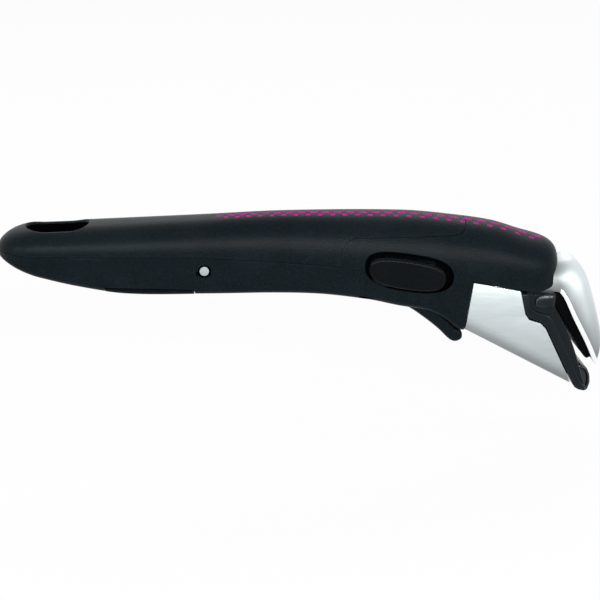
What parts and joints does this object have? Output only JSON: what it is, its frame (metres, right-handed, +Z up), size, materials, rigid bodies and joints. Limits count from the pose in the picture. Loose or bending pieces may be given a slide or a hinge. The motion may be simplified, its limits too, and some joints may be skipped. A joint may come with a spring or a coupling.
{
  "type": "detachable pan handle",
  "caption": "Clamp-on cookware handle: moulded grip with hanging hole, squeeze lever, side release buttons, and a steel hook that draws over a pan rim.",
  "frame": {"origin": "rim seat of the clamp, where the pan's wall stands against the frame, in the handle's middle plane", "axes": "+X along the handle toward the pan, +Y to the left across the handle, +Z up"},
  "size_m": [0.2398, 0.0396, 0.0759],
  "materials": {
    "grip_black": "fine-grained matt moulding",
    "gloss_black": "polished moulding",
    "guide_black": "smooth moulding",
    "satin_stainless": "satin, deep drawn",
    "zinc_steel": "zinc plated",
    "pin_steel": "ground and polished",
    "spring_steel": "drawn wire"
  },
  "bodies": {
    "handle": {"upper_shell": "grip_black", "main_shell": "grip_black", "rear_base_plate": "grip_black", "shell_screws": "zinc_steel", "lever_pivot_pin": "pin_steel", "lever_spring": "spring_steel", "drawbar_guide": "guide_black", "front_skirt": "satin_stainless", "head_bracket": "zinc_steel", "bracket_screws": "zinc_steel", "clamp_frame": "gloss_black", "support_foot": "gloss_black", "foot_pins": "pin_steel", "button_carrier": "guide_black", "right_button_spring": "spring_steel", "left_button_spring": "spring_steel"},
    "lever": {"lever": "grip_black", "lever_crank": "zinc_steel", "crank_rivets": "zinc_steel", "latch_fork": "zinc_steel", "fork_rivet": "zinc_steel", "crank_pin": "pin_steel"},
    "jaw": {"drawbar": "zinc_steel", "rim_hook": "satin_stainless", "hook_core": "gloss_black", "hook_rivets": "pin_steel"},
    "right_button": {"right_button": "gloss_black"},
    "left_button": {"left_button": "gloss_black"}
  },
  "joints": [
    {"name": "lever_hinge", "type": "hinge", "parent": "handle", "child": "lever", "pos_m": [-0.1398, 0, 0.0213], "axis": [0, 1, 0], "range_deg": [0, 28], "deforming": ["lever_spring"]},
    {"name": "jaw_slide", "type": "slide", "parent": "handle", "child": "jaw", "axis": [1, 0, 0], "range_m": [0, 0.00534]},
    {"name": "right_button_press", "type": "slide", "parent": "handle", "child": "right_button", "axis": [0, 1, 0], "range_m": [0, 0.0024], "stiffness_N_per_m": 600, "springref_m": -0.002, "deforming": ["right_button_spring"]},
    {"name": "left_button_press", "type": "slide", "parent": "handle", "child": "left_button", "axis": [0, -1, 0], "range_m": [0, 0.0024], "stiffness_N_per_m": 600, "springref_m": -0.002, "deforming": ["left_button_spring"]}
  ],
  "couplings": [
    {"joint": "jaw_slide", "follows": "lever_hinge", "m_per_rad": 0.010891}
  ]
}
